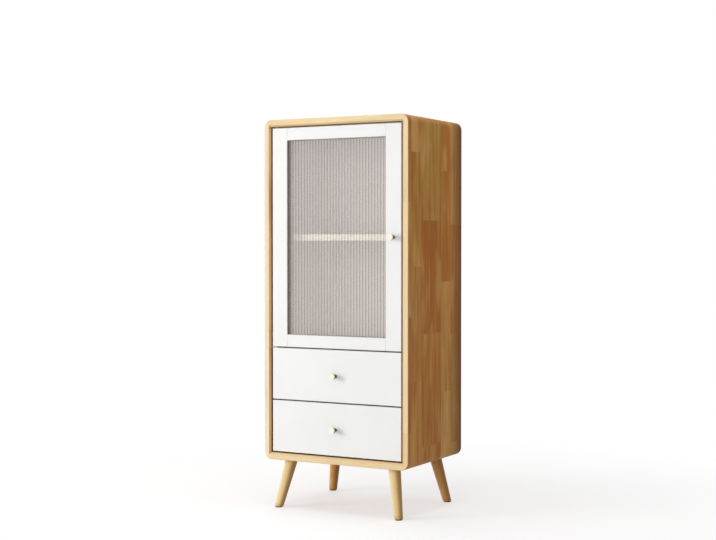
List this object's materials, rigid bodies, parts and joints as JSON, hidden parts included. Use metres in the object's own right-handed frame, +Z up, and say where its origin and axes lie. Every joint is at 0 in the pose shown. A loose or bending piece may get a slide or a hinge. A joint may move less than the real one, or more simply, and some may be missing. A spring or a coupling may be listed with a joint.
{
  "type": "display cabinet",
  "caption": "Tall wooden cabinet on splayed round legs, with a hinged reeded-glass door above drawers on telescopic runners.",
  "frame": {"origin": "on the floor, under the middle of the whole object's box, with the knobs counted in", "axes": "+X to the right seen from the front, +Y to the back, +Z up"},
  "size_m": [0.5, 0.3886, 1.2],
  "materials": {
    "case_wood": "clear satin lacquer on finger-jointed hardwood staves",
    "leg_wood": "clear satin lacquer on turned hardwood",
    "spline_wood": "bare hardwood",
    "white_lacquer": "white satin lacquer",
    "shelf_board": "pale clear lacquer",
    "back_board": "white faced board",
    "drawer_wood": "clear lacquer on pale board",
    "reeded_glass": "clear reeded glass",
    "gasket_rubber": "matt dark rubber",
    "knob_brass": "satin champagne brass",
    "plated_steel": "zinc plate",
    "bush_nylon": "moulded nylon",
    "catch_plastic": "moulded plastic",
    "magnet": "bare ferrite",
    "pad_rubber": "matt rubber"
  },
  "bodies": {
    "cabinet": {"back_panel": "back_board", "bottom_panel": "case_wood", "catch_housing": "catch_plastic", "catch_magnet": "magnet", "compartment_floor": "shelf_board", "corner_splines": "spline_wood", "foot_pads": "pad_rubber", "left_side_panel": "case_wood", "legs": "leg_wood", "lower_left_outer_rail": "plated_steel", "lower_pivot_bracket": "plated_steel", "lower_right_outer_rail": "plated_steel", "right_side_panel": "case_wood", "shelf": "shelf_board", "shelf_pins": "plated_steel", "top_panel": "case_wood", "upper_left_outer_rail": "plated_steel", "upper_pivot_plate": "plated_steel", "upper_right_outer_rail": "plated_steel"},
    "door": {"door_bottom_rail": "white_lacquer", "door_glass": "reeded_glass", "door_knob": "knob_brass", "door_left_stile": "white_lacquer", "door_right_stile": "white_lacquer", "door_top_rail": "white_lacquer", "glass_gasket": "gasket_rubber", "glazing_beads": "white_lacquer", "pivot_bushes": "bush_nylon", "strike_plate": "plated_steel"},
    "upper_drawer": {"upper_drawer_back": "drawer_wood", "upper_drawer_bottom": "drawer_wood", "upper_drawer_front": "white_lacquer", "upper_drawer_knob": "knob_brass", "upper_drawer_left_side": "drawer_wood", "upper_drawer_right_side": "drawer_wood", "upper_left_inner_rail": "plated_steel", "upper_right_inner_rail": "plated_steel"},
    "upper_middle_rails": {"upper_left_middle_rail": "plated_steel", "upper_right_middle_rail": "plated_steel"},
    "lower_drawer": {"lower_drawer_back": "drawer_wood", "lower_drawer_bottom": "drawer_wood", "lower_drawer_front": "white_lacquer", "lower_drawer_knob": "knob_brass", "lower_drawer_left_side": "drawer_wood", "lower_drawer_right_side": "drawer_wood", "lower_left_inner_rail": "plated_steel", "lower_right_inner_rail": "plated_steel"},
    "lower_middle_rails": {"lower_left_middle_rail": "plated_steel", "lower_right_middle_rail": "plated_steel"}
  },
  "joints": [
    {"name": "door_hinge", "type": "hinge", "parent": "cabinet", "child": "door", "pos_m": [-0.2145, -0.16225, 0.8375], "axis": [0, 0, -1], "range_deg": [0, 110]},
    {"name": "upper_drawer_slide", "type": "slide", "parent": "cabinet", "child": "upper_drawer", "axis": [0, -1, 0], "range_m": [0, 0.3]},
    {"name": "upper_runner_slide", "type": "slide", "parent": "cabinet", "child": "upper_middle_rails", "axis": [0, -1, 0], "range_m": [0, 0.15]},
    {"name": "lower_drawer_slide", "type": "slide", "parent": "cabinet", "child": "lower_drawer", "axis": [0, -1, 0], "range_m": [0, 0.3]},
    {"name": "lower_runner_slide", "type": "slide", "parent": "cabinet", "child": "lower_middle_rails", "axis": [0, -1, 0], "range_m": [0, 0.15]}
  ],
  "couplings": [
    {"joint": "upper_runner_slide", "follows": "upper_drawer_slide", "ratio": 0.5},
    {"joint": "lower_runner_slide", "follows": "lower_drawer_slide", "ratio": 0.5}
  ]
}
